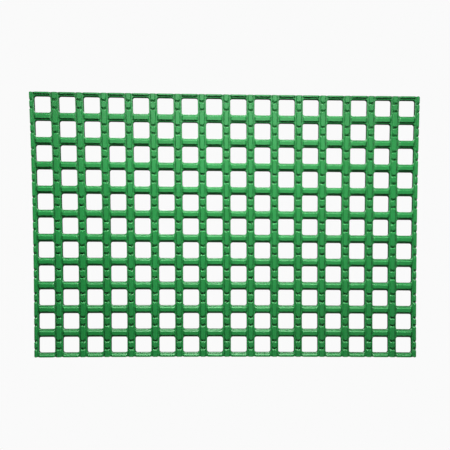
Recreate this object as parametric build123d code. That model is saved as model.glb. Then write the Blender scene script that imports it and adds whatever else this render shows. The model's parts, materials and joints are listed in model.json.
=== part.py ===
"""Moulded cargo climbing net, hung upright from its top border.

The net is a flexible square lattice. Horizontal rungs carry a raised ridge, and the upright
straps that cross them carry raised blocks. A V groove across a strap, above and below each rung,
is the thin line where the net bends, so each strap is a chain of long blocks, one over each
rung, and short blocks, one between two rungs. All four borders are bars cut along their middle.

Frame: millimetres, +X along the rungs, +Z up, and -Y the climbing face. The origin is the middle
of the top edge, halfway through the web. The bend lines run along X at y = 0.
"""

from build123d import *
from math import radians, tan
import os

os.makedirs("parts", exist_ok=True)

# Lattice
COLUMNS = 16  # openings side by side
ROWS = 11  # openings one above another
COLUMN_PITCH = 101.6
ROW_PITCH = 101.6
STRAP_WIDTH = 34.0  # an upright strap, seen from the front
RUNG_WIDTH = 34.0  # a horizontal rung, seen from the front
CORNER_RADIUS = 4.0  # the net's four outer corners

# Section
WEB_DEPTH = 14.0  # the lattice under the raised relief
BLOCK_RISE = 6.0  # how far a strap's blocks stand above the web
RIDGE_RISE = 6.0  # how far a rung's ridge stands above the web
BLOCK_FACE_WIDTH = 14.0
RIDGE_FACE_WIDTH = 11.0
BACK_CHAMFER = 1.5

# Ends
LINK_LENGTH = 33.9  # one short block, from bend line to bend line
GROOVE_RUN = 8.0  # how far a block's end slopes from its face down to the web
HIP_RUN = 7.0  # how far a ridge's end slopes down beside a strap
FLEX_GAP = 0.3  # between two blocks, on their bend line
FLEX_RELIEF = 8.0  # degrees that each block's end leans back from the bend line

# Worked out from the above
BACK = WEB_DEPTH / 2
WEB_FRONT = -WEB_DEPTH / 2
NET_WIDTH = COLUMNS * COLUMN_PITCH
NET_HEIGHT = ROWS * ROW_PITCH
CROSS_LENGTH = ROW_PITCH - LINK_LENGTH
SPAN = COLUMN_PITCH - STRAP_WIDTH
LARGEST = max(COLUMN_PITCH, ROW_PITCH)


def section(width, face_width, rise):
    """The outline across a bar, as (across, y) points: a chamfered back, a web and a raised face."""
    edge = width / 2
    face = face_width / 2
    right_side = [
        (edge - BACK_CHAMFER, BACK),
        (edge, BACK - BACK_CHAMFER),
        (edge, WEB_FRONT),
        (face, WEB_FRONT - rise),
    ]
    left_side = [(-across, y) for across, y in reversed(right_side)]
    return right_side + left_side


def block_profile(length):
    """The outline along a strap's block, as (along, y) points, with a blunt wedge at each end."""
    tip = (length - FLEX_GAP) / 2
    shoulder = tip - WEB_DEPTH / 2 * tan(radians(FLEX_RELIEF))
    upper_end = [
        (shoulder, BACK),
        (tip, 0.0),
        (shoulder, WEB_FRONT),
        (shoulder - GROOVE_RUN, WEB_FRONT - BLOCK_RISE),
    ]
    lower_end = [(-along, y) for along, y in reversed(upper_end)]
    return upper_end + lower_end


def ridge_profile():
    """The outline along one rung span, as (along, y) points: a web with a hipped ridge."""
    end = SPAN / 2
    right_end = [
        (end, BACK),
        (end, WEB_FRONT),
        (end - HIP_RUN, WEB_FRONT - RIDGE_RISE),
    ]
    left_end = [(-along, y) for along, y in reversed(right_end)]
    return right_end + left_end


def along_z(outline):
    """An (x, y) outline as a long prism along Z."""
    return extrude(make_face(Polyline(*outline, close=True)), LARGEST, both=True)


def along_x(outline):
    """A (z, y) outline as a long prism along X."""
    turned = [(y, z) for z, y in outline]
    return extrude(Plane.YZ * make_face(Polyline(*turned, close=True)), LARGEST, both=True)


def strap_block(length):
    """One block of an upright strap, centred on the origin."""
    return along_z(section(STRAP_WIDTH, BLOCK_FACE_WIDTH, BLOCK_RISE)) & along_x(block_profile(length))


def rung_span():
    """One span of a rung between two straps, centred on the origin."""
    return along_z(ridge_profile()) & along_x(section(RUNG_WIDTH, RIDGE_FACE_WIDTH, RIDGE_RISE))


def net_outline():
    """A slab with the net's outline and rounded corners, which trims the border bars."""
    slab = Pos(0, 0, -NET_HEIGHT / 2) * Box(NET_WIDTH, 4 * WEB_DEPTH, NET_HEIGHT)
    return fillet(slab.edges().filter_by(Axis.Y), CORNER_RADIUS)


def strap_x(strap):
    """The middle of an upright strap, counted from 0 at the left border."""
    return (strap - COLUMNS / 2) * COLUMN_PITCH


def rung_z(rung):
    """The middle of a rung, counted from 0 at the top border."""
    return -rung * ROW_PITCH


def placed(piece, x, z, on_border):
    """A copy of a piece at its place, cut back to the outline where it lies on the border."""
    copy = Pos(x, 0, z) * piece
    return (copy & OUTLINE).solid() if on_border else copy.solid()


def rung(number):
    """All the spans of one rung."""
    on_border = number in (0, ROWS)
    middles = [strap_x(column) + COLUMN_PITCH / 2 for column in range(COLUMNS)]
    return [placed(RUNG_SPAN, x, rung_z(number), on_border) for x in middles]


def cross_blocks(number):
    """The long blocks where the straps cross one rung."""
    return [
        placed(CROSS_BLOCK, strap_x(strap), rung_z(number), number in (0, ROWS) or strap in (0, COLUMNS))
        for strap in range(COLUMNS + 1)
    ]


def link_blocks(number):
    """The short blocks between one rung and the next, counted from 1 at the top."""
    middle = (rung_z(number - 1) + rung_z(number)) / 2
    return [
        placed(LINK_BLOCK, strap_x(strap), middle, strap in (0, COLUMNS))
        for strap in range(COLUMNS + 1)
    ]


def level_name(number):
    """What a rung is called, from top to bottom."""
    return {0: "top", ROWS: "bottom"}.get(number, f"{number:02d}")


def write(name, solids):
    """Writes one node, as a group of separate solids."""
    export_step(Compound(solids), f"parts/{name}.step")


OUTLINE = net_outline()
RUNG_SPAN = rung_span()
CROSS_BLOCK = strap_block(CROSS_LENGTH)
LINK_BLOCK = strap_block(LINK_LENGTH)

for level in range(ROWS + 1):
    write(f"rung_{level_name(level)}", rung(level))
    write(f"cross_blocks_{level_name(level)}", cross_blocks(level))

for level in range(1, ROWS + 1):
    write(f"link_blocks_{level:02d}", link_blocks(level))
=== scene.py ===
"""Looks of the moulded cargo climbing net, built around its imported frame.

One tile of the lattice, where a strap crosses a rung, is modelled once as a closed shell that reaches to the
middle of its four arms. Every level of the net is cut from it: the rungs, which stay rigid, and the rows of
straps between them, which bend about their grooves.

Frame: metres, +X along the rungs, +Z up, and -Y the climbing face. The origin is the middle of the top edge,
halfway through the web, and the bend lines run along X at y = 0.
"""

from __future__ import annotations

import json
import logging
from dataclasses import dataclass
from enum import Enum
from math import cos, hypot, pi, radians, sin
from typing import Callable, NamedTuple, Sequence

import bmesh
import bpy
import numpy as np
from mathutils import Matrix, Quaternion, Vector

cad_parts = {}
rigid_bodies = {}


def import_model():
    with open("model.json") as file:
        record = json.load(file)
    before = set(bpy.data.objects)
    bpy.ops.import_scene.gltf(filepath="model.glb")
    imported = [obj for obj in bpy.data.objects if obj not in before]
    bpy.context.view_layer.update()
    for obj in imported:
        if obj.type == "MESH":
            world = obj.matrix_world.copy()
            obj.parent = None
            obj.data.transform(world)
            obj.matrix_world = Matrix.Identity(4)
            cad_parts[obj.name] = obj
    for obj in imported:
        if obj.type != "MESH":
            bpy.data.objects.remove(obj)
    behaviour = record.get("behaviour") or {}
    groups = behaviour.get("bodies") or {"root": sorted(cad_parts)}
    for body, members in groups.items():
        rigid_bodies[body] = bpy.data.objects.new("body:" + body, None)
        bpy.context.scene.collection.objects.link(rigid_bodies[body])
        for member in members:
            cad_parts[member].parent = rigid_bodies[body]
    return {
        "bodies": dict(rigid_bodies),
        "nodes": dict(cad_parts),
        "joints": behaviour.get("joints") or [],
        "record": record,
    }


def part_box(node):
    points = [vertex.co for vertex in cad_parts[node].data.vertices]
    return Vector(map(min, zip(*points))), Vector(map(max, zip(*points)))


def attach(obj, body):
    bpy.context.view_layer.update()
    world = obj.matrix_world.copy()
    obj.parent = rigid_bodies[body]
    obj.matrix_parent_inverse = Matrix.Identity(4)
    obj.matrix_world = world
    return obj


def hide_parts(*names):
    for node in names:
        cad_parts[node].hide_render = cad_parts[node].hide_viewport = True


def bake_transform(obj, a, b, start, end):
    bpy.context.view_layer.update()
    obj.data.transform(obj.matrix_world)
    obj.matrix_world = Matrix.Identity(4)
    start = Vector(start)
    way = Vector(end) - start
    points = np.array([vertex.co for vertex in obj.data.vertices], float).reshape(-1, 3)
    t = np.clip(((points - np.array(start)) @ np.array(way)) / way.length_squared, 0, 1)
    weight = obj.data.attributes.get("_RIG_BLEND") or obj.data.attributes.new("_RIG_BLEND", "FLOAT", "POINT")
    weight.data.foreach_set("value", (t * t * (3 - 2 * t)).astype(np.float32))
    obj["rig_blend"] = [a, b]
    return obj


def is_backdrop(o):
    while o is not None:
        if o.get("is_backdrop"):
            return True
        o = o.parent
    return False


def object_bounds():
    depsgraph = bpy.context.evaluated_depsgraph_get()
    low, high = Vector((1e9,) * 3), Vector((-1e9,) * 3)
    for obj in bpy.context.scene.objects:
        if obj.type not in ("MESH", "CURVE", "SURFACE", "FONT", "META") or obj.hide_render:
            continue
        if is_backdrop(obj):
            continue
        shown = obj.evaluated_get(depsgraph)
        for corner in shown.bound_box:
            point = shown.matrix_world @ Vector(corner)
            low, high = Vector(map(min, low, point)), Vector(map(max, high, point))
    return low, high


LOG = logging.getLogger("climbing_net")
TOUCHING = 1e-6  # points this near are one point
ON_CUT = TOUCHING / 10  # points this near a cut lie on it
ALONG_X, ALONG_Y, ALONG_Z = Vector((1, 0, 0)), Vector((0, 1, 0)), Vector((0, 0, 1))

FACING = "facing"  # vertex layer: the way the true surface faces
WEAR_AND_SHADE = "wear_and_shade"  # vertex layer and mesh attribute: 1 where hands and feet rub, 0 in channels, -1 on walls; wear shows where it is high, and shade is painted into the colour where it is low
NET_PLACE = "net_place"  # mesh attribute: where a point of the net lies at rest


# Lattice ------------------------------------------------------------


class Level(Enum):
    """Which rung of the net a row belongs to."""

    TOP = "top"
    INNER = "inner"
    BOTTOM = "bottom"


class Side(Enum):
    """Which upright strap of the net a tile belongs to."""

    LEFT = -1
    INNER = 0
    RIGHT = 1


@dataclass(frozen=True)
class Lattice:
    """The net's driving sizes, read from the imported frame."""

    left: float
    right: float
    crest: float  # y of the raised faces
    back: float  # y of the flat back
    bar_half: float  # half the width of a rung or a strap
    row_pitch: float
    bend_offset: float  # from a rung's middle to the bend lines above and below it
    columns: int

    @classmethod
    def measured(cls, frame: dict) -> Lattice:
        """Reads the sizes from the boxes of the first rungs and from the first joint.


        Returns:
            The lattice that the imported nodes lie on. Its openings are as wide as they are high.
        """
        low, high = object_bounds()
        first_low, first_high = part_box("rung_01")
        first = (first_low.z + first_high.z) / 2
        row_pitch = high.z - first
        return cls(
            left=low.x,
            right=high.x,
            crest=low.y,
            back=high.y,
            bar_half=(first_high.z - first_low.z) / 2,
            row_pitch=row_pitch,
            bend_offset=high.z - frame["joints"][0]["pos_m"][2],
            columns=round((high.x - low.x) / row_pitch),
        )

    @property
    def front(self) -> float:
        """The y of the web's front: the bend lines run halfway through the web."""
        return -self.back

    @property
    def column_pitch(self) -> float:
        """The distance between two upright straps."""
        return (self.right - self.left) / self.columns

    def strap_x(self, strap: int) -> float:
        """The middle of an upright strap, counted from 0 at the left border."""
        return self.left + strap * self.column_pitch

    def side_of(self, strap: int) -> Side:
        """Whether a strap is a border or lies inside the net."""
        return {0: Side.LEFT, self.columns: Side.RIGHT}.get(strap, Side.INNER)


@dataclass(frozen=True)
class Slack:
    """How the limp net strays from a true lattice: borders bow in, and each corner pulls its own way."""

    low: Vector
    high: Vector
    top_bow: float = 0.0017
    bottom_bow: float = 0.0031
    left_bow: float = 0.0055
    right_bow: float = 0.0049
    top_left: Vector = Vector((-0.0136, 0.0, -0.0001))
    top_right: Vector = Vector((0.0025, 0.0, -0.0004))
    bottom_left: Vector = Vector((0.0020, 0.0, 0.0003))
    bottom_right: Vector = Vector((0.0092, 0.0, 0.0002))

    def applied(self, points: np.ndarray) -> np.ndarray:
        """Where the points of a true lattice lie in the slack one.

        Args:
            points: One point in each row.

        Returns:
            The points, moved a little within the plane of the net.
        """
        middle = (self.low + self.high) / 2
        half = (self.high - self.low) / 2
        across = (points[:, 0] - middle.x) / half.x
        up = (points[:, 2] - middle.z) / half.z
        moved = points.copy()
        side_bow = self.left_bow * (1 - across) - self.right_bow * (1 + across)
        level_bow = self.bottom_bow * (1 - up) - self.top_bow * (1 + up)
        moved[:, 0] += side_bow * (1 - up**2) / 2
        moved[:, 2] += level_bow * (1 - across**2) / 2
        corners = (
            (self.top_left, -1, 1),
            (self.top_right, 1, 1),
            (self.bottom_left, -1, -1),
            (self.bottom_right, 1, -1),
        )
        for stray, side, height in corners:
            share = (1 + side * across) * (1 + height * up) / 4
            moved += share[:, None] * np.array(stray)
        return moved


# Profiles -----------------------------------------------------------


class FlankStep(NamedTuple):
    """One step up a raised form's side, as shares of its run and of its rise."""

    run: float
    rise: float
    slope: float
    wear_and_shade: float


@dataclass(frozen=True)
class Flank:
    """The side of a raised form. It leaves the web and meets the crest in soft curves."""

    easing: float = 0.22  # share of the run that each soft curve takes
    crest_band: float = 0.3  # how far the crest's worn edge reaches in, as a share of the run
    crest_rubbed: float = 0.35  # how rubbed the crest is inside its worn edge

    def steps(self) -> list[FlankStep]:
        """The steps of the side.

        Returns:
            The steps from the foot to just inside the crest.
        """
        steepest = 1 / (1 - self.easing)
        # The foot steps get 0, which paints shade where a raised form meets the web; the crest steps get 1,
        # where wear shows most.
        foot = [
            FlankStep(share, steepest * share**2 / (2 * self.easing), steepest * share / self.easing, 0.0)
            for share in (0.0, self.easing / 2, self.easing)
        ]
        crest = [FlankStep(1 - step.run, 1 - step.rise, step.slope, 1.0) for step in reversed(foot)]
        return foot + crest + [FlankStep(1 + self.crest_band, 1.0, 0.0, self.crest_rubbed)]


class EdgeStep(NamedTuple):
    """One step round the edge of the web: how far in from the wall, where through it, and how it faces."""

    inset: float
    y: float
    sideways: float
    facing_y: float
    wear_and_shade: float


@dataclass(frozen=True)
class WebEdge:
    """The wall of an opening, with its front and back edges rounded, most of all under a rung."""

    front: float
    back: float
    front_radius: float = 0.0031
    underside_reach: float = 0.0053  # how far in a rung's lower front edge is rounded
    underside_depth: float = 0.0090  # how far back a rung's lower front edge is rounded
    back_radius: float = 0.0010
    front_wear_and_shade: float = 0.6  # the wear-and-shade value where the edge meets the front face; round the edge it falls to -1, painted shade on the wall
    back_wear_and_shade: float = 0.4  # the wear-and-shade value where the edge meets the back face; round the edge it falls to -1, painted shade on the wall
    steps_round: int = 4

    def reach(self, down: float) -> float:
        """How far in the front edge is rounded, where down is 1 under a rung and 0 elsewhere."""
        return self.front_radius + down * (self.underside_reach - self.front_radius)

    def depth(self, down: float) -> float:
        """How far back the front edge is rounded."""
        return self.front_radius + down * (self.underside_depth - self.front_radius)

    def steps(self, down: float) -> list[EdgeStep]:
        """The steps from the front face, round both edges, to the back face.

        Args:
            down: How far the wall faces down, from 0 to 1.

        Returns:
            The steps, which are equally many for every wall.
        """
        turns = [pi / 2 * number / self.steps_round for number in range(self.steps_round + 1)]
        reach, depth = self.reach(down), self.depth(down)
        steps = []
        for turn in turns:
            sideways, forward = depth * sin(turn), reach * cos(turn)
            length = hypot(sideways, forward)
            inset = reach * (1 - sin(turn))
            y = self.front + depth * (1 - cos(turn))
            # Falls from the front edge's value to -1 on the wall, where shade is painted into the colour.
            wear_and_shade = (1 + self.front_wear_and_shade) * cos(turn) - 1
            steps.append(EdgeStep(inset, y, sideways / length, -forward / length, wear_and_shade))
        for turn in reversed(turns):
            inset = self.back_radius * (1 - sin(turn))
            y = self.back - self.back_radius * (1 - cos(turn))
            # Falls from the back edge's value to -1 on the wall, where shade is painted into the colour.
            wear_and_shade = (1 + self.back_wear_and_shade) * cos(turn) - 1
            steps.append(EdgeStep(inset, y, sin(turn), cos(turn), wear_and_shade))
        return steps


class Ends(NamedTuple):
    """A pair of sizes for the two corners of a raised form's end, on its across side and on the other."""

    across: float
    other: float


@dataclass(frozen=True)
class Nose:
    """Half of a raised form, from the line across its middle out to its rounded end."""

    reach: float  # from the middle line to the foot of the end
    half_width: float
    end_run: float
    side_run: float
    foot_radii: Ends
    crest_radii: Ends
    corner_steps: int = 5
    roundest: float = 0.9  # a corner's largest radius, as a share of the half width

    def outline(self, share: float) -> tuple[np.ndarray, np.ndarray]:
        """The outline at one height, from the middle line round the end and back to it.

        Args:
            share: 0 at the foot of the flank and 1 at the crest.

        Returns:
            The points and the outward directions, as (along, across) pairs.
        """
        reach = self.reach - share * self.end_run
        half = self.half_width - share * self.side_run
        points = [(0.0, half)]
        outward = [(0.0, 1.0)]
        for sign, foot, crest in zip((1, -1), self.foot_radii, self.crest_radii):
            radius = min(foot + share * (crest - foot), half * self.roundest)
            for step in range(self.corner_steps + 1):
                turn = pi / 2 * step / self.corner_steps
                angle = pi / 2 - turn if sign > 0 else -turn
                outward.append((cos(angle), sin(angle)))
                along = reach - radius * (1 - cos(angle))
                points.append((along, sign * (half - radius) + radius * sin(angle)))
            if sign > 0:
                points.append((reach, 0.0))
                outward.append((1.0, 0.0))
        points.append((0.0, -half))
        outward.append((0.0, -1.0))
        return np.array(points), np.array(outward)

    def crest_half(self, flank: Flank) -> float:
        """Half the width of the innermost outline that a flank makes."""
        return self.half_width - flank.steps()[-1].run * self.side_run


@dataclass(frozen=True)
class Seat:
    """Where a nose starts in the XZ plane, and which ways are along and across it."""

    x: float
    z: float
    along: tuple[float, float]
    across: tuple[float, float]

    def turned(self, pairs: np.ndarray) -> np.ndarray:
        """Directions given as (along, across), as (x, z)."""
        return pairs @ np.array((self.along, self.across))

    def placed(self, pairs: np.ndarray) -> np.ndarray:
        """Points given as (along, across), as (x, z)."""
        return self.turned(pairs) + np.array((self.x, self.z))


# Shells -------------------------------------------------------------


def lies_in(part: bmesh.types.BMEdge | bmesh.types.BMFace, point: Vector, normal: Vector) -> bool:
    """Whether an edge or a face lies in the plane through a point."""
    return all(abs((vert.co - point).dot(normal)) < TOUCHING for vert in part.verts)


class Shell:
    """A shell under construction, with the true surface's direction kept at each of its points."""

    def __init__(self, mesh: bmesh.types.BMesh | None = None) -> None:
        """Starts a shell.

        Args:
            mesh: A mesh to take over, which has the layers. The shell starts empty without one.
        """
        self.mesh = mesh or bmesh.new()
        if mesh is None:
            self.mesh.verts.layers.float_vector.new(FACING)
            self.mesh.verts.layers.float.new(WEAR_AND_SHADE)

    def copy(self) -> Shell:
        """Another shell of the same shape."""
        return Shell(self.mesh.copy())

    def patch(self, points: np.ndarray, facing: np.ndarray, wear_and_shade: Sequence[float]) -> None:
        """Adds a grid of quads.

        Args:
            points: One row of points for each step of the profile.
            facing: The way the surface faces at each point.
            wear_and_shade: How exposed each row is: worn where high, painted shade where low.
        """
        facing_layer = self.mesh.verts.layers.float_vector[FACING]
        wear_and_shade_layer = self.mesh.verts.layers.float[WEAR_AND_SHADE]
        grid = []
        for row, row_facing, exposure in zip(points, facing, wear_and_shade):
            verts = [self.mesh.verts.new(point) for point in row]
            for vert, direction in zip(verts, row_facing):
                vert[facing_layer] = direction
                vert[wear_and_shade_layer] = exposure
            grid.append(verts)
        for low, high in zip(grid, grid[1:]):
            for number in range(len(low) - 1):
                self.mesh.faces.new((low[number], low[number + 1], high[number + 1], high[number]))

    def line(self, start: Sequence[float], end: Sequence[float]) -> None:
        """Adds one edge that bounds a flat face to come."""
        self.mesh.edges.new([self.mesh.verts.new(point) for point in (start, end)])

    def weld(self) -> None:
        """Joins the points that coincide, and keeps the ones that know which way they face."""
        facing_layer = self.mesh.verts.layers.float_vector[FACING]
        loose = [vert for vert in self.mesh.verts if vert[facing_layer].length < TOUCHING]
        kept = [vert for vert in self.mesh.verts if vert[facing_layer].length >= TOUCHING]
        bmesh.ops.remove_doubles(self.mesh, verts=kept, dist=TOUCHING)
        kept = [vert for vert in kept if vert.is_valid]
        found = bmesh.ops.find_doubles(self.mesh, verts=kept + loose, keep_verts=kept, dist=TOUCHING)
        bmesh.ops.weld_verts(self.mesh, targetmap=found["targetmap"])

    def rim(self, point: Vector, normal: Vector) -> list[bmesh.types.BMEdge]:
        """The open edges that lie in the plane through a point."""
        return [
            edge for edge in self.mesh.edges if len(edge.link_faces) < 2 and lies_in(edge, point, normal)
        ]

    def close(self, point: Vector, normal: Vector) -> None:
        """Fills the flat face, holes and all, whose rims lie in a plane."""
        bmesh.ops.triangle_fill(self.mesh, use_beauty=True, edges=self.rim(point, normal), normal=normal)

    def settle(self) -> None:
        """Turns every face of the closed shell outward."""
        bmesh.ops.recalc_face_normals(self.mesh, faces=self.mesh.faces)
        if self.mesh.calc_volume(signed=True) < 0:
            bmesh.ops.reverse_faces(self.mesh, faces=self.mesh.faces)

    def score(self, point: Vector, normal: Vector, cut_away: bool = False) -> None:
        """Cuts the shell's faces along a plane.

        Args:
            point: A point of the plane.
            normal: The plane's normal.
            cut_away: Whether what lies on the normal's side is taken away.
        """
        everything = [*self.mesh.verts, *self.mesh.edges, *self.mesh.faces]
        bmesh.ops.bisect_plane(
            self.mesh,
            geom=everything,
            dist=ON_CUT,
            plane_co=point,
            plane_no=normal,
            clear_outer=cut_away,
        )

    def trim(self, point: Vector, outward: Vector) -> None:
        """Cuts away what lies beyond a plane, and closes the cut.

        Args:
            point: A point of the plane.
            outward: The plane's normal, on the side that is cut away.
        """
        self.score(point, outward, cut_away=True)
        cut = dict.fromkeys(vert for edge in self.rim(point, outward) for vert in edge.verts)
        bmesh.ops.remove_doubles(self.mesh, verts=list(cut), dist=TOUCHING)
        caps = bmesh.ops.edgeloop_fill(self.mesh, edges=self.rim(point, outward))["faces"]
        bmesh.ops.triangulate(self.mesh, faces=caps)

    def uncap(self, point: Vector, normal: Vector) -> None:
        """Takes out the faces that lie in a plane, where two shells join."""
        caps = [face for face in self.mesh.faces if lies_in(face, point, normal)]
        bmesh.ops.delete(self.mesh, geom=caps, context="FACES")

    def shift(self, offset: Vector) -> Shell:
        """Moves the shell, and gives it back."""
        bmesh.ops.translate(self.mesh, vec=offset, verts=self.mesh.verts)
        return self


class Casting:
    """A finished shape as a Blender mesh, with true normals, which can be copied to many places."""

    crease = cos(radians(50))  # a face turned further than this from the true surface is a flat cut

    def __init__(self, name: str, shells: Sequence[Shell]) -> None:
        """Joins the shells into one mesh.

        Args:
            name: What the mesh is called.
            shells: The shells, in place. Shells that meet at uncapped ends are welded there.
        """
        self.mesh = bpy.data.meshes.new(name)
        joined = bmesh.new()
        for shell in shells:
            single = bpy.data.meshes.new(f"{name}.part")
            shell.settle()
            shell.mesh.to_mesh(single)
            joined.from_mesh(single)
            bpy.data.meshes.remove(single)
        bmesh.ops.remove_doubles(joined, verts=joined.verts, dist=TOUCHING)
        Shell(joined).settle()
        self.open_edges = sum(edge.is_boundary or edge.is_wire for edge in joined.edges)
        joined.to_mesh(self.mesh)
        joined.free()
        self._set_normals()

    def _set_normals(self) -> None:
        """Shades each corner the way the true surface faces, and each flat cut as flat."""
        mesh = self.mesh
        mesh.shade_smooth()
        facing = np.empty(len(mesh.vertices) * 3, np.float32)
        mesh.attributes[FACING].data.foreach_get("vector", facing)
        corners = np.empty(len(mesh.loops), np.int32)
        mesh.loops.foreach_get("vertex_index", corners)
        flat = np.empty(len(mesh.polygons) * 3, np.float32)
        mesh.polygons.foreach_get("normal", flat)
        sides = np.empty(len(mesh.polygons), np.int32)
        mesh.polygons.foreach_get("loop_total", sides)
        true = facing.reshape(-1, 3)[corners]
        true /= np.maximum(np.linalg.norm(true, axis=1, keepdims=True), TOUCHING)
        flat = np.repeat(flat.reshape(-1, 3), sides, axis=0)
        smooth = (true * flat).sum(axis=1, keepdims=True) > self.crease
        mesh.normals_split_custom_set(np.where(smooth, true, flat).tolist())
        mesh.attributes.remove(mesh.attributes[FACING])

    def placed(self, name: str, offset: Vector, slack: Slack) -> bpy.types.Object:
        """A piece of this shape.

        Args:
            name: What the piece is called.
            offset: Where it goes. The piece's object stays at the origin, and its points are moved.
            slack: How the net strays from a true lattice.

        Returns:
            The piece, with a mesh of its own.
        """
        mesh = self.mesh.copy()
        mesh.name = name
        mesh.transform(Matrix.Translation(offset))
        places = np.empty(len(mesh.vertices) * 3, np.float32)
        mesh.vertices.foreach_get("co", places)
        mesh.vertices.foreach_set("co", slack.applied(places.reshape(-1, 3)).ravel())
        mesh.attributes.new(NET_PLACE, "FLOAT_VECTOR", "POINT").data.foreach_set("vector", places)
        piece = bpy.data.objects.new(name, mesh)
        bpy.context.scene.collection.objects.link(piece)
        return piece


# Tile ---------------------------------------------------------------


@dataclass(frozen=True)
class Tile:
    """One strap crossing one rung, out to the middle of its four arms."""

    lattice: Lattice
    corner_radius: float = 0.0088  # of the openings
    pad_half_width: float = 0.012
    pad_side_run: float = 0.0045
    pad_upper_run: float = 0.0052
    pad_lower_run: float = 0.0075
    pad_gap: float = 0.0005  # from a pad's foot to its bend line
    pad_upper_foot: float = 0.004
    pad_upper_crest: float = 0.0025
    pad_lower_foot: float = 0.009
    pad_lower_crest: float = 0.007
    ridge_half_width: float = 0.0121
    ridge_side_run: float = 0.0056
    ridge_lift: float = 0.0006  # how far the ridge lies above the middle of its rung
    ridge_overlap: float = 0.0014  # how far the foot of a ridge's end reaches in over the strap
    ridge_end_run: float = 0.0076
    ridge_upper_foot: float = 0.0035
    ridge_upper_crest: float = 0.0010
    ridge_lower_foot: float = 0.005
    ridge_lower_crest: float = 0.002
    wall_steps: int = 6
    flank: Flank = Flank()

    @property
    def half_wide(self) -> float:
        """Half the distance between two straps."""
        return self.lattice.column_pitch / 2

    @property
    def half_high(self) -> float:
        """Half the distance between two rungs."""
        return self.lattice.row_pitch / 2

    @property
    def edge(self) -> WebEdge:
        """The wall of an opening."""
        return WebEdge(self.lattice.front, self.lattice.back)

    def pad_nose(self, reach: float, upper: bool) -> Nose:
        """Half of a strap's pad. Its lower end is rounder than its upper end.

        Args:
            reach: From the pad's middle to the foot of its end.
            upper: Whether this is the pad's upper half.

        Returns:
            The half pad.
        """
        foot = self.pad_upper_foot if upper else self.pad_lower_foot
        crest = self.pad_upper_crest if upper else self.pad_lower_crest
        return Nose(
            reach=reach,
            half_width=self.pad_half_width,
            end_run=self.pad_upper_run if upper else self.pad_lower_run,
            side_run=self.pad_side_run,
            foot_radii=Ends(foot, foot),
            crest_radii=Ends(crest, crest),
        )

    def ridge_nose(self) -> Nose:
        """Half of a rung's ridge, which ends at the strap.

        Returns:
            The half ridge. Its across side is its upper side, where its corners are tighter.
        """
        return Nose(
            reach=self.half_wide - self.lattice.bar_half + self.ridge_overlap,
            half_width=self.ridge_half_width,
            end_run=self.ridge_end_run,
            side_run=self.ridge_side_run,
            foot_radii=Ends(self.ridge_upper_foot, self.ridge_lower_foot),
            crest_radii=Ends(self.ridge_upper_crest, self.ridge_lower_crest),
        )

    def raise_nose(self, shell: Shell, nose: Nose, seat: Seat) -> None:
        """Adds the flank of a raised form.

        Args:
            shell: The shell under construction.
            nose: The half form.
            seat: Where it goes.
        """
        foot, outward = nose.outline(0)
        crest, _ = nose.outline(1)
        run = -((crest - foot) * outward).sum(axis=1)
        outward = seat.turned(outward)
        rise = self.lattice.front - self.lattice.crest
        steps = self.flank.steps()
        points = []
        facing = []
        for step in steps:
            across = seat.placed(nose.outline(step.run)[0])
            y = np.full(len(across), self.lattice.front - rise * step.rise)
            points.append(np.column_stack((across[:, 0], y, across[:, 1])))
            lean = outward * rise * step.slope
            direction = np.column_stack((lean[:, 0], -run, lean[:, 1]))
            facing.append(direction / np.linalg.norm(direction, axis=1, keepdims=True))
        shell.patch(np.array(points), np.array(facing), [step.wear_and_shade for step in steps])

    def raise_wall(self, shell: Shell, side: int, up: int) -> None:
        """Adds the wall of one opening's corner, from the middle of a rung arm to the middle of a strap arm.

        Args:
            shell: The shell under construction.
            side: 1 for the opening on the right, -1 for the one on the left.
            up: 1 for the opening above the rung, -1 for the one below.
        """
        bar = self.lattice.bar_half
        centre = bar + self.corner_radius
        plan = [(self.half_wide, bar)]
        outward = [(0.0, 1.0)]
        for step in range(self.wall_steps + 1):
            turn = pi / 2 * step / self.wall_steps
            outward.append((sin(turn), cos(turn)))
            plan.append((centre - self.corner_radius * sin(turn), centre - self.corner_radius * cos(turn)))
        plan.append((bar, self.half_high))
        outward.append((1.0, 0.0))
        signs = np.array((side, up))
        plan_points = np.array(plan) * signs
        plan_outward = np.array(outward) * signs
        profiles = np.array([self.edge.steps(max(0.0, -down)) for _, down in plan_outward])
        points = []
        facing = []
        exposures = []
        for inset, y, sideways, facing_y, wear_and_shade in profiles.transpose(1, 2, 0):
            inner = plan_points - inset[:, None] * plan_outward
            points.append(np.column_stack((inner[:, 0], y, inner[:, 1])))
            side_part = plan_outward * sideways[:, None]
            facing.append(np.column_stack((side_part[:, 0], facing_y, side_part[:, 1])))
            exposures.append(wear_and_shade[0])
        shell.patch(np.array(points), np.array(facing), exposures)

    def rule_arm_end(
        self, shell: Shell, nose: Nose, middle: Vector, across: Vector, lift: float = 0.0
    ) -> None:
        """Adds the straight lines that bound the flat faces where an arm ends.

        Args:
            shell: The shell under construction.
            nose: The raised form that the arm's end cuts through.
            middle: The middle of the arm's end, at y = 0.
            across: The way across the arm.
            lift: How far across the arm the raised form lies from the middle.
        """
        back_half = self.lattice.bar_half - self.edge.back_radius
        crest_half = nose.crest_half(self.flank)
        front = middle + ALONG_Y * self.lattice.front
        crest = middle + ALONG_Y * self.lattice.crest
        back = middle + ALONG_Y * self.lattice.back
        for sign in (-1, 1):
            foot = front + across * (lift + sign * nose.half_width)
            reach = self.edge.reach(max(0.0, -sign * across.z))
            shell.line(front + across * sign * (self.lattice.bar_half - reach), foot)
        shell.line(crest + across * (lift - crest_half), crest + across * (lift + crest_half))
        shell.line(back - across * back_half, back + across * back_half)

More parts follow.
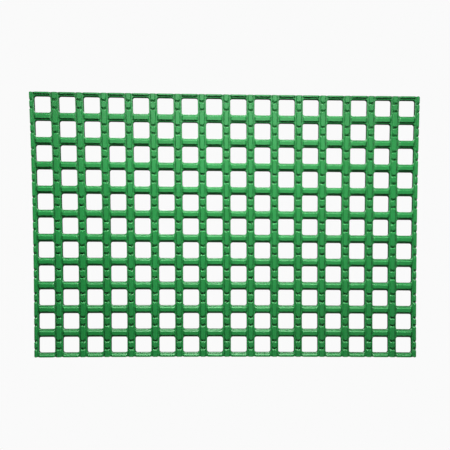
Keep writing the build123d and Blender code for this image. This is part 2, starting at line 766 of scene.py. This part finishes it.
    def shell(self) -> Shell:
        """Makes the tile.

        Returns:
            The whole tile as a closed shell, with a flat face where each arm ends.
        """
        shell = Shell()
        long_reach = self.lattice.bend_offset - self.pad_gap
        short_reach = self.half_high - self.lattice.bend_offset - self.pad_gap
        ridge = self.ridge_nose()
        for up in (1, -1):
            self.raise_nose(shell, self.pad_nose(long_reach, up > 0), Seat(0, 0, (0, up), (1, 0)))
            short = self.pad_nose(short_reach, up < 0)
            self.raise_nose(shell, short, Seat(0, up * self.half_high, (0, -up), (1, 0)))
            self.rule_arm_end(shell, short, ALONG_Z * up * self.half_high, ALONG_X)
        for side in (1, -1):
            self.raise_nose(shell, ridge, Seat(side * self.half_wide, self.ridge_lift, (-side, 0), (0, 1)))
            self.rule_arm_end(shell, ridge, ALONG_X * side * self.half_wide, ALONG_Z, self.ridge_lift)
            for up in (1, -1):
                self.raise_wall(shell, side, up)
        shell.weld()
        for y in (self.lattice.front, self.lattice.crest, self.lattice.back):
            shell.close(ALONG_Y * y, ALONG_Y)
        for sign in (1, -1):
            shell.close(ALONG_X * sign * self.half_wide, ALONG_X)
            shell.close(ALONG_Z * sign * self.half_high, ALONG_Z)
        shell.settle()
        return shell


# Net ----------------------------------------------------------------


@dataclass(frozen=True)
class Row:
    """A row of tiles across the net, from border to border."""

    tile: Tile
    stub_reach: float  # from a rung's middle to where the bending straps take over

    def joined(self, name: str, cut: Callable[[Shell, Side], None]) -> Casting:
        """The row's shape, with z = 0 at the middle of its rung.

        Args:
            name: What the row's mesh is called.
            cut: Cuts a tile down to the row's share of it. The tile is whole, or is already half where it
                lies on a side border, which is cut along the middle of its strap.

        Returns:
            The row.
        """
        lattice = self.tile.lattice
        whole = self.tile.shell()
        units = {side: whole.copy() for side in Side}
        for side, unit in units.items():
            if side is not Side.INNER:
                unit.trim(Vector(), ALONG_X * side.value)
            cut(unit, side)
        shells = [
            units[lattice.side_of(strap)].copy().shift(ALONG_X * lattice.strap_x(strap))
            for strap in range(lattice.columns + 1)
        ]
        return Casting(name, shells)


@dataclass(frozen=True)
class RungRow(Row):
    """One rung with the stubs of the straps that cross it, as one rigid moulding."""

    outer_radius: float = 0.006  # the net's four outer corners
    outer_steps: int = 6

    def casting(self, level: Level) -> Casting:
        """The shape of a rung, which is cut along its middle where it is a border."""
        return self.joined(f"rung_{level.value}", lambda shell, side: self.cut(shell, side, level))

    def cut(self, shell: Shell, side: Side, level: Level) -> None:
        """Cuts a tile's straps down to stubs, and opens the tile where it joins the next.

        Args:
            shell: The tile, about the middle of its strap.
            side: Whether it is on a side border of the net.
            level: Which rung it is on.
        """
        shell.trim(ALONG_Z * (0.0 if level is Level.TOP else self.stub_reach), ALONG_Z)
        shell.trim(-ALONG_Z * (0.0 if level is Level.BOTTOM else self.stub_reach), -ALONG_Z)
        if side is not Side.INNER and level is not Level.INNER:
            self.round_corner(shell, side.value, 1 if level is Level.TOP else -1)
        for sign in (1, -1):
            if sign != side.value:
                shell.uncap(ALONG_X * sign * self.tile.half_wide, ALONG_X)

    def round_corner(self, shell: Shell, side: int, up: int) -> None:
        """Rounds one of the net's outer corners, which lies at x = 0 and z = 0.

        Args:
            shell: The corner's tile.
            side: 1 at the right border, -1 at the left.
            up: 1 at the top border, -1 at the bottom.
        """
        centre = Vector((-side, 0, -up)) * self.outer_radius
        for step in range(self.outer_steps):
            angle = pi / 2 * (step + 0.5) / self.outer_steps
            outward = Vector((side * cos(angle), 0, up * sin(angle)))
            shell.trim(centre + outward * self.outer_radius, outward)


@dataclass(frozen=True)
class StrapRow(Row):
    """The straps between a rung and the middle of the next gap, which bend about one line."""

    bend_half: float = 0.005  # how far each side of its line the plastic bends
    bend_steps: int = 4

    def casting(self, up: int) -> Casting:
        """The shape of the straps above a rung, where up is 1, or below it, where up is -1."""
        name = "straps_above" if up > 0 else "straps_below"
        return self.joined(name, lambda shell, side: self.cut(shell, up))

    def cut(self, shell: Shell, up: int) -> None:
        """Cuts a tile down to one strap, with rows of points where it bends.

        Args:
            shell: The tile, about the middle of its strap.
            up: 1 for a strap above the rung, -1 for one below it.
        """
        shell.trim(ALONG_Z * up * self.stub_reach, -ALONG_Z * up)
        for step in range(-self.bend_steps // 2, self.bend_steps // 2 + 1):
            offset = self.bend_half * 2 * step / self.bend_steps
            shell.score(ALONG_Z * (up * self.tile.lattice.bend_offset + offset), ALONG_Z)


class ClimbingNet:
    """The whole net: twelve rigid rungs, and twenty-two rows of straps that bend between them."""

    slot = "net_plastic"

    def __init__(self, frame: dict) -> None:
        """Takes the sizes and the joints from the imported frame.
        """
        self.frame = frame
        self.lattice = Lattice.measured(frame)
        self.slack = Slack(*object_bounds())
        self.tile = Tile(self.lattice)
        self.stub_reach = self.lattice.bar_half + self.tile.corner_radius
        self.pieces: list[bpy.types.Object] = []

    def nodes_of(self, body: str) -> list[str]:
        """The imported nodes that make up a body."""
        return self.frame["record"]["behaviour"]["bodies"][body]

    def rung_node(self, body: str) -> str | None:
        """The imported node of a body's rung, if it carries one."""
        return next((name for name in self.nodes_of(body) if name.startswith("rung_")), None)

    def rung_height(self, body: str) -> float:
        """How high a body's rung lies.

        Args:
            body: A body that carries a rung.

        Returns:
            The z of the rung's middle. The top and bottom rungs are cut along that line.
        """
        node = self.rung_node(body)
        low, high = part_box(node)
        return {"rung_top": high.z, "rung_bottom": low.z}.get(node, (low.z + high.z) / 2)

    def keep(self, piece: bpy.types.Object, *nodes: str) -> None:
        """Adds a finished piece to the net.

        Args:
            piece: The piece, which already rides or bends with its body.
            nodes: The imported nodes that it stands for.
        """
        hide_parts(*nodes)
        self.pieces.append(piece)
        LOG.info("%s: %d points, stands for %s", piece.name, len(piece.data.vertices), ", ".join(nodes))

    def build_rungs(self) -> None:
        """Makes the rigid rungs, from the top border to the bottom border."""
        row = RungRow(self.tile, self.stub_reach)
        castings = {level: row.casting(level) for level in Level}
        for level, casting in castings.items():
            LOG.info("%s rung casting has %d open edges", level.value, casting.open_edges)
        levels = {"rung_top": Level.TOP, "rung_bottom": Level.BOTTOM}
        for body in filter(self.rung_node, self.frame["bodies"]):
            node = self.rung_node(body)
            casting = castings[levels.get(node, Level.INNER)]
            piece = casting.placed(f"{node}_moulding", ALONG_Z * self.rung_height(body), self.slack)
            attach(piece, body)
            self.keep(piece, *self.nodes_of(body))

    def build_straps(self) -> None:
        """Makes one row of bending straps for each joint, from top to bottom."""
        row = StrapRow(self.tile, self.stub_reach)
        below, above = row.casting(-1), row.casting(1)
        LOG.info("strap castings have %d and %d open edges", below.open_edges, above.open_edges)
        for joint in self.frame["joints"]:
            parent, child = joint["parent"], joint["child"]
            from_rung = self.rung_node(parent) is not None
            casting, rung, link = (below, parent, child) if from_rung else (above, child, parent)
            piece = casting.placed(f"{joint['name']}_straps", ALONG_Z * self.rung_height(rung), self.slack)
            line = Vector(joint["pos_m"])
            start = line + ALONG_Z * row.bend_half
            end = line - ALONG_Z * row.bend_half
            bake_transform(piece, parent, child, start=start, end=end)
            self.keep(piece, *self.nodes_of(link))

    def dress(self, material: bpy.types.Material) -> None:
        """Gives every piece its plastic."""
        for piece in self.pieces:
            piece.data.materials.append(material)


# Shader graph -------------------------------------------------------


class Value:
    """A number that varies over the surface, which takes part in Python's arithmetic."""

    def __init__(self, graph: Graph, socket: bpy.types.NodeSocket) -> None:
        """Wraps the socket that gives the number."""
        self.graph = graph
        self.socket = socket

    def _with(self, operation: str, first: Value | float, second: Value | float) -> Value:
        """The outcome of one Math node."""
        node = self.graph.node("ShaderNodeMath", {"operation": operation}, {0: first, 1: second})
        return Value(self.graph, node.outputs[0])

    def __add__(self, other: Value | float) -> Value:
        """self + other"""
        return self._with("ADD", self, other)

    def __radd__(self, other: float) -> Value:
        """other + self"""
        return self._with("ADD", other, self)

    def __sub__(self, other: Value | float) -> Value:
        """self - other"""
        return self._with("SUBTRACT", self, other)

    def __rsub__(self, other: float) -> Value:
        """other - self"""
        return self._with("SUBTRACT", other, self)

    def __mul__(self, other: Value | float) -> Value:
        """self * other"""
        return self._with("MULTIPLY", self, other)

    def __rmul__(self, other: float) -> Value:
        """other * self"""
        return self._with("MULTIPLY", other, self)

    def above(self, low: float, high: float) -> Value:
        """A soft step.

        Args:
            low: Where it starts.
            high: Where it ends.

        Returns:
            0 below low, 1 above high, and a smooth rise between them.
        """
        settings = {"interpolation_type": "SMOOTHSTEP"}
        inputs = {"Value": self, "From Min": low, "From Max": high}
        node = self.graph.node("ShaderNodeMapRange", settings, inputs)
        return Value(self.graph, node.outputs["Result"])


class Graph:
    """The nodes of one material or world."""

    first_colour, second_colour, mixed_colour = 6, 7, 2  # a Mix node's colour sockets

    def __init__(self, tree: bpy.types.NodeTree) -> None:
        """Empties the tree."""
        self.tree = tree
        tree.nodes.clear()

    def node(self, kind: str, settings: dict | None = None, inputs: dict | None = None) -> bpy.types.Node:
        """Adds one node.

        Args:
            kind: The node's type.
            settings: Its settings, which are set first.
            inputs: What goes on its sockets, by name or number: a Value, another socket or a constant.

        Returns:
            The node.
        """
        node = self.tree.nodes.new(kind)
        for name, setting in (settings or {}).items():
            setattr(node, name, setting)
        for name, given in (inputs or {}).items():
            given = given.socket if isinstance(given, Value) else given
            if isinstance(given, bpy.types.NodeSocket):
                self.tree.links.new(given, node.inputs[name])
            else:
                node.inputs[name].default_value = given
        return node

    def noise(self, place: bpy.types.NodeSocket, size: float, detail: float = 2.0) -> Value:
        """Smooth noise from 0 to 1, with blotches of a given size in metres."""
        inputs = {"Vector": place, "Scale": 1 / size, "Detail": detail}
        return Value(self, self.node("ShaderNodeTexNoise", {"noise_dimensions": "3D"}, inputs).outputs["Fac"])

    def attribute(self, name: str, output: str) -> bpy.types.NodeSocket:
        """An attribute of the mesh."""
        return self.node("ShaderNodeAttribute", {"attribute_name": name}).outputs[output]

    def blend(
        self, share: Value, low: Tint | bpy.types.NodeSocket, high: Tint | bpy.types.NodeSocket
    ) -> bpy.types.NodeSocket:
        """A colour between two others, low where the share is 0 and high where it is 1."""
        inputs = {"Factor": share, self.first_colour: low, self.second_colour: high}
        return self.node("ShaderNodeMix", {"data_type": "RGBA"}, inputs).outputs[self.mixed_colour]


class Tint(NamedTuple):
    """A linear colour."""

    red: float
    green: float
    blue: float
    alpha: float = 1.0


@dataclass(frozen=True)
class SatinPolyethylene:
    """Green moulded polyethylene, with a fine moulded grain, lightly rubbed crests, and shade painted darker
    into its channels and onto the walls of its openings.
    """

    green: Tint = Tint(0.0060, 0.262, 0.044)
    pale_green: Tint = Tint(0.0095, 0.300, 0.058)
    rubbed_green: Tint = Tint(0.040, 0.370, 0.110)
    channel_shade_green: Tint = Tint(0.0030, 0.175, 0.030)  # painted shade in the channels and at the feet of the raised forms, where little light reaches
    channel_shade_reach: float = 0.22  # how exposed a place must be to be clear of the painted channel shade
    wall_shade_green: Tint = Tint(0.0015, 0.070, 0.013)  # painted shade on the walls of the openings, which face away from the lights
    wall_shade_reach: float = -0.6
    rubbed_share: float = 0.30  # how much of the rubbed colour a scuff shows
    rubbed_roughness: float = 0.2  # how much rougher a full scuff is
    roughness: float = 0.45
    roughness_spread: float = 0.12
    specular: float = 1.0
    blotch: float = 0.21  # how large the patches of slightly paler plastic are
    blotch_share: float = 0.6  # how far the patches outweigh the mottling
    pale_range: tuple[float, float] = (0.35, 0.65)  # from green to pale green
    mottle: float = 0.006
    scuff: float = 0.002
    scuff_range: tuple[float, float] = (0.45, 0.75)  # from unmarked to scuffed
    grain: float = 0.0009
    grain_depth: float = 0.00006
    ripple: float = 0.011
    ripple_depth: float = 0.00011

    def material(self) -> bpy.types.Material:
        """Makes the plastic.

        Returns:
            The material that every piece of the net wears.
        """
        material = bpy.data.materials.new("satin_green_polyethylene")
        material.use_nodes = True
        graph = Graph(material.node_tree)
        place = graph.attribute(NET_PLACE, "Vector")
        wear_and_shade = Value(graph, graph.attribute(WEAR_AND_SHADE, "Fac"))
        mottle = graph.noise(place, self.mottle, detail=3.0)
        pale = graph.noise(place, self.blotch) * self.blotch_share + mottle * (1 - self.blotch_share)
        open_green = graph.blend(pale.above(*self.pale_range), self.green, self.pale_green)
        # Painted shade: darker green in the channels and at the feet of the raised forms, and darkest on the
        # walls of the openings.
        painted_shade = graph.blend(wear_and_shade.above(self.wall_shade_reach, 0.0), self.wall_shade_green, self.channel_shade_green)
        base = graph.blend(wear_and_shade.above(0.0, self.channel_shade_reach), painted_shade, open_green)
        scuffs = graph.noise(place, self.scuff, detail=4.0).above(*self.scuff_range)
        wear = wear_and_shade.above(0.0, 1.0) * scuffs * self.rubbed_share
        spread = (mottle - 0.5) * self.roughness_spread
        shader = graph.node(
            "ShaderNodeBsdfPrincipled",
            inputs={
                "Base Color": graph.blend(wear, base, self.rubbed_green),
                "Roughness": self.roughness + spread + wear * self.rubbed_roughness,
                "Specular IOR Level": self.specular,
                "Normal": self.relief(graph, place),
            },
        )
        graph.node("ShaderNodeOutputMaterial", inputs={"Surface": shader.outputs[0]})
        return material

    def relief(self, graph: Graph, place: bpy.types.NodeSocket) -> bpy.types.NodeSocket:
        """The moulded grain over the faint ripple of the mould.

        Args:
            graph: The material's graph.
            place: Where each point of the net lies.

        Returns:
            The surface's normals.
        """
        ripple = graph.noise(place, self.ripple, detail=1.0)
        grain = graph.noise(place, self.grain, detail=2.0)
        wave = graph.node("ShaderNodeBump", inputs={"Height": ripple, "Distance": self.ripple_depth})
        inputs = {"Height": grain, "Distance": self.grain_depth, "Normal": wave.outputs[0]}
        return graph.node("ShaderNodeBump", inputs=inputs).outputs[0]


# Studio -------------------------------------------------------------


@dataclass(frozen=True)
class SoftBox:
    """One rectangular studio light."""

    name: str
    place: Vector
    aim: Vector
    width: float
    height: float
    power: float

    def build(self) -> None:
        """Hangs the light and turns it to what it lights."""
        data = bpy.data.lights.new(self.name, "AREA")
        data.shape = "RECTANGLE"
        data.size = self.width
        data.size_y = self.height
        data.energy = self.power
        light = bpy.data.objects.new(self.name, data)
        light.location = self.place
        light.rotation_euler = (self.aim - self.place).to_track_quat("-Z", "Y").to_euler()
        bpy.context.scene.collection.objects.link(light)


@dataclass(frozen=True)
class Studio:
    """A plain pale studio: camera, lights, sky and floor."""

    centre: Vector
    floor_drop: float = 0.55  # from the net's lower edge to the floor
    floor_half: float = 14.0
    floor_cells: int = 8
    floor_tint: Tint = Tint(0.08, 0.08, 0.08)
    lens: float = 41.6  # millimetres, on a sensor 36 mm wide
    camera_place: Vector = Vector((-0.0631, -2.2122, -0.4695))
    camera_aim: Vector = Vector((-0.0066, 0.0, -0.5510))
    camera_roll: float = radians(0.398)
    backdrop: Tint = Tint(0.956, 0.956, 0.956)
    sky: Tint = Tint(0.05, 0.05, 0.05)
    ground: Tint = Tint(0.005, 0.005, 0.005)
    horizon: float = 0.35  # how far above and below the horizon the sky fades into the ground

    def build(self, lower_edge: float) -> None:
        """Sets up the whole studio.

        Args:
            lower_edge: The z of the net's lower edge.
        """
        self.build_camera()
        self.build_sky()
        self.build_floor(lower_edge - self.floor_drop)
        for box in self.lights():
            box.build()
        bpy.context.scene.view_settings.view_transform = "Standard"

    def lights(self) -> list[SoftBox]:
        """The studio's lights.

        Returns:
            Two soft lights overhead, a weak fill in front, one light behind, and one past each side.
        """
        ahead = Vector((0.05, -1.3, -0.2))  # in front of the net, so that the panel's light grazes it
        edges = [
            SoftBox(name, Vector((x, 0.5, -0.4)), self.centre, width=1.2, height=1.2, power=15.0)
            for name, x in (("left_edge_light", -3.0), ("right_edge_light", 3.0))
        ]
        return [
            SoftBox("overhead_panel", Vector((0.05, -0.9, 0.69)), ahead, width=1.8, height=0.4, power=95.0),
            SoftBox("overhead_soft", Vector((0, -1.0, 3.6)), self.centre, width=3.4, height=0.8, power=45.0),
            SoftBox("front_fill", Vector((1.1, -3.3, -0.9)), self.centre, width=2.0, height=1.4, power=2.9),
            SoftBox("back_light", Vector((-0.4, 2.6, 2.3)), self.centre, width=1.4, height=1.0, power=85.0),
            *edges,
        ]

    def build_camera(self) -> None:
        """Places the camera a little above the middle of the net."""
        data = bpy.data.cameras.new("camera")
        data.lens = self.lens
        camera = bpy.data.objects.new("camera", data)
        camera.location = self.camera_place
        camera.rotation_mode = "QUATERNION"
        level = (self.camera_aim - self.camera_place).to_track_quat("-Z", "Y")
        camera.rotation_quaternion = level @ Quaternion((0, 0, 1), self.camera_roll)
        bpy.context.scene.collection.objects.link(camera)
        bpy.context.scene.camera = camera

    def build_sky(self) -> None:
        """Makes a plain white backdrop, which lights the net as a sky that is darker below."""
        world = bpy.data.worlds.new("studio_sky")
        world.use_nodes = True
        graph = Graph(world.node_tree)
        direction = graph.node("ShaderNodeTexCoord").outputs["Generated"]
        height = graph.node("ShaderNodeSeparateXYZ", inputs={0: direction}).outputs["Z"]
        sky = graph.blend(Value(graph, height).above(-self.horizon, self.horizon), self.ground, self.sky)
        lighting = graph.node("ShaderNodeBackground", inputs={"Color": sky})
        seen = graph.node("ShaderNodeBackground", inputs={"Color": self.backdrop})
        self.finish_seen(graph, "ShaderNodeOutputWorld", lighting, seen)
        bpy.context.scene.world = world

    def build_floor(self, height: float) -> None:
        """Lays the pale floor, which is as bright as the backdrop.

        Args:
            height: The floor's z.
        """
        plane = bmesh.new()
        cells = self.floor_cells
        bmesh.ops.create_grid(plane, x_segments=cells, y_segments=cells, size=self.floor_half)
        mesh = bpy.data.meshes.new("floor")
        plane.to_mesh(mesh)
        plane.free()
        material = bpy.data.materials.new("pale_floor")
        material.use_nodes = True
        graph = Graph(material.node_tree)
        lighting = graph.node("ShaderNodeBsdfDiffuse", inputs={"Color": self.floor_tint})
        seen = graph.node("ShaderNodeEmission", inputs={"Color": self.backdrop})
        self.finish_seen(graph, "ShaderNodeOutputMaterial", lighting, seen)
        mesh.materials.append(material)
        floor = bpy.data.objects.new("floor", mesh)
        floor.location.z = height
        bpy.context.scene.collection.objects.link(floor)
        floor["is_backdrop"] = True

    @staticmethod
    def finish_seen(graph: Graph, output: str, lighting: bpy.types.Node, seen: bpy.types.Node) -> None:
        """Ends a graph that looks one way in the picture and another way to the light.

        Args:
            graph: The graph.
            output: The type of its output node.
            lighting: What the light meets.
            seen: What the picture shows.
        """
        direct = graph.node("ShaderNodeLightPath").outputs["Is Camera Ray"]
        inputs = {0: direct, 1: lighting.outputs[0], 2: seen.outputs[0]}
        mix = graph.node("ShaderNodeMixShader", inputs=inputs)
        graph.node(output, inputs={"Surface": mix.outputs[0]})


def main() -> None:
    """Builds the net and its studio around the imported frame."""
    logging.basicConfig(level=logging.INFO, format="%(name)s: %(message)s")
    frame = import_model()
    packed_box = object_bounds()
    net = ClimbingNet(frame)
    net.build_rungs()
    net.build_straps()
    net.dress(SatinPolyethylene().material())
    low, high = packed_box
    Studio((low + high) / 2).build(low.z)


if __name__ == "__main__":
    main()
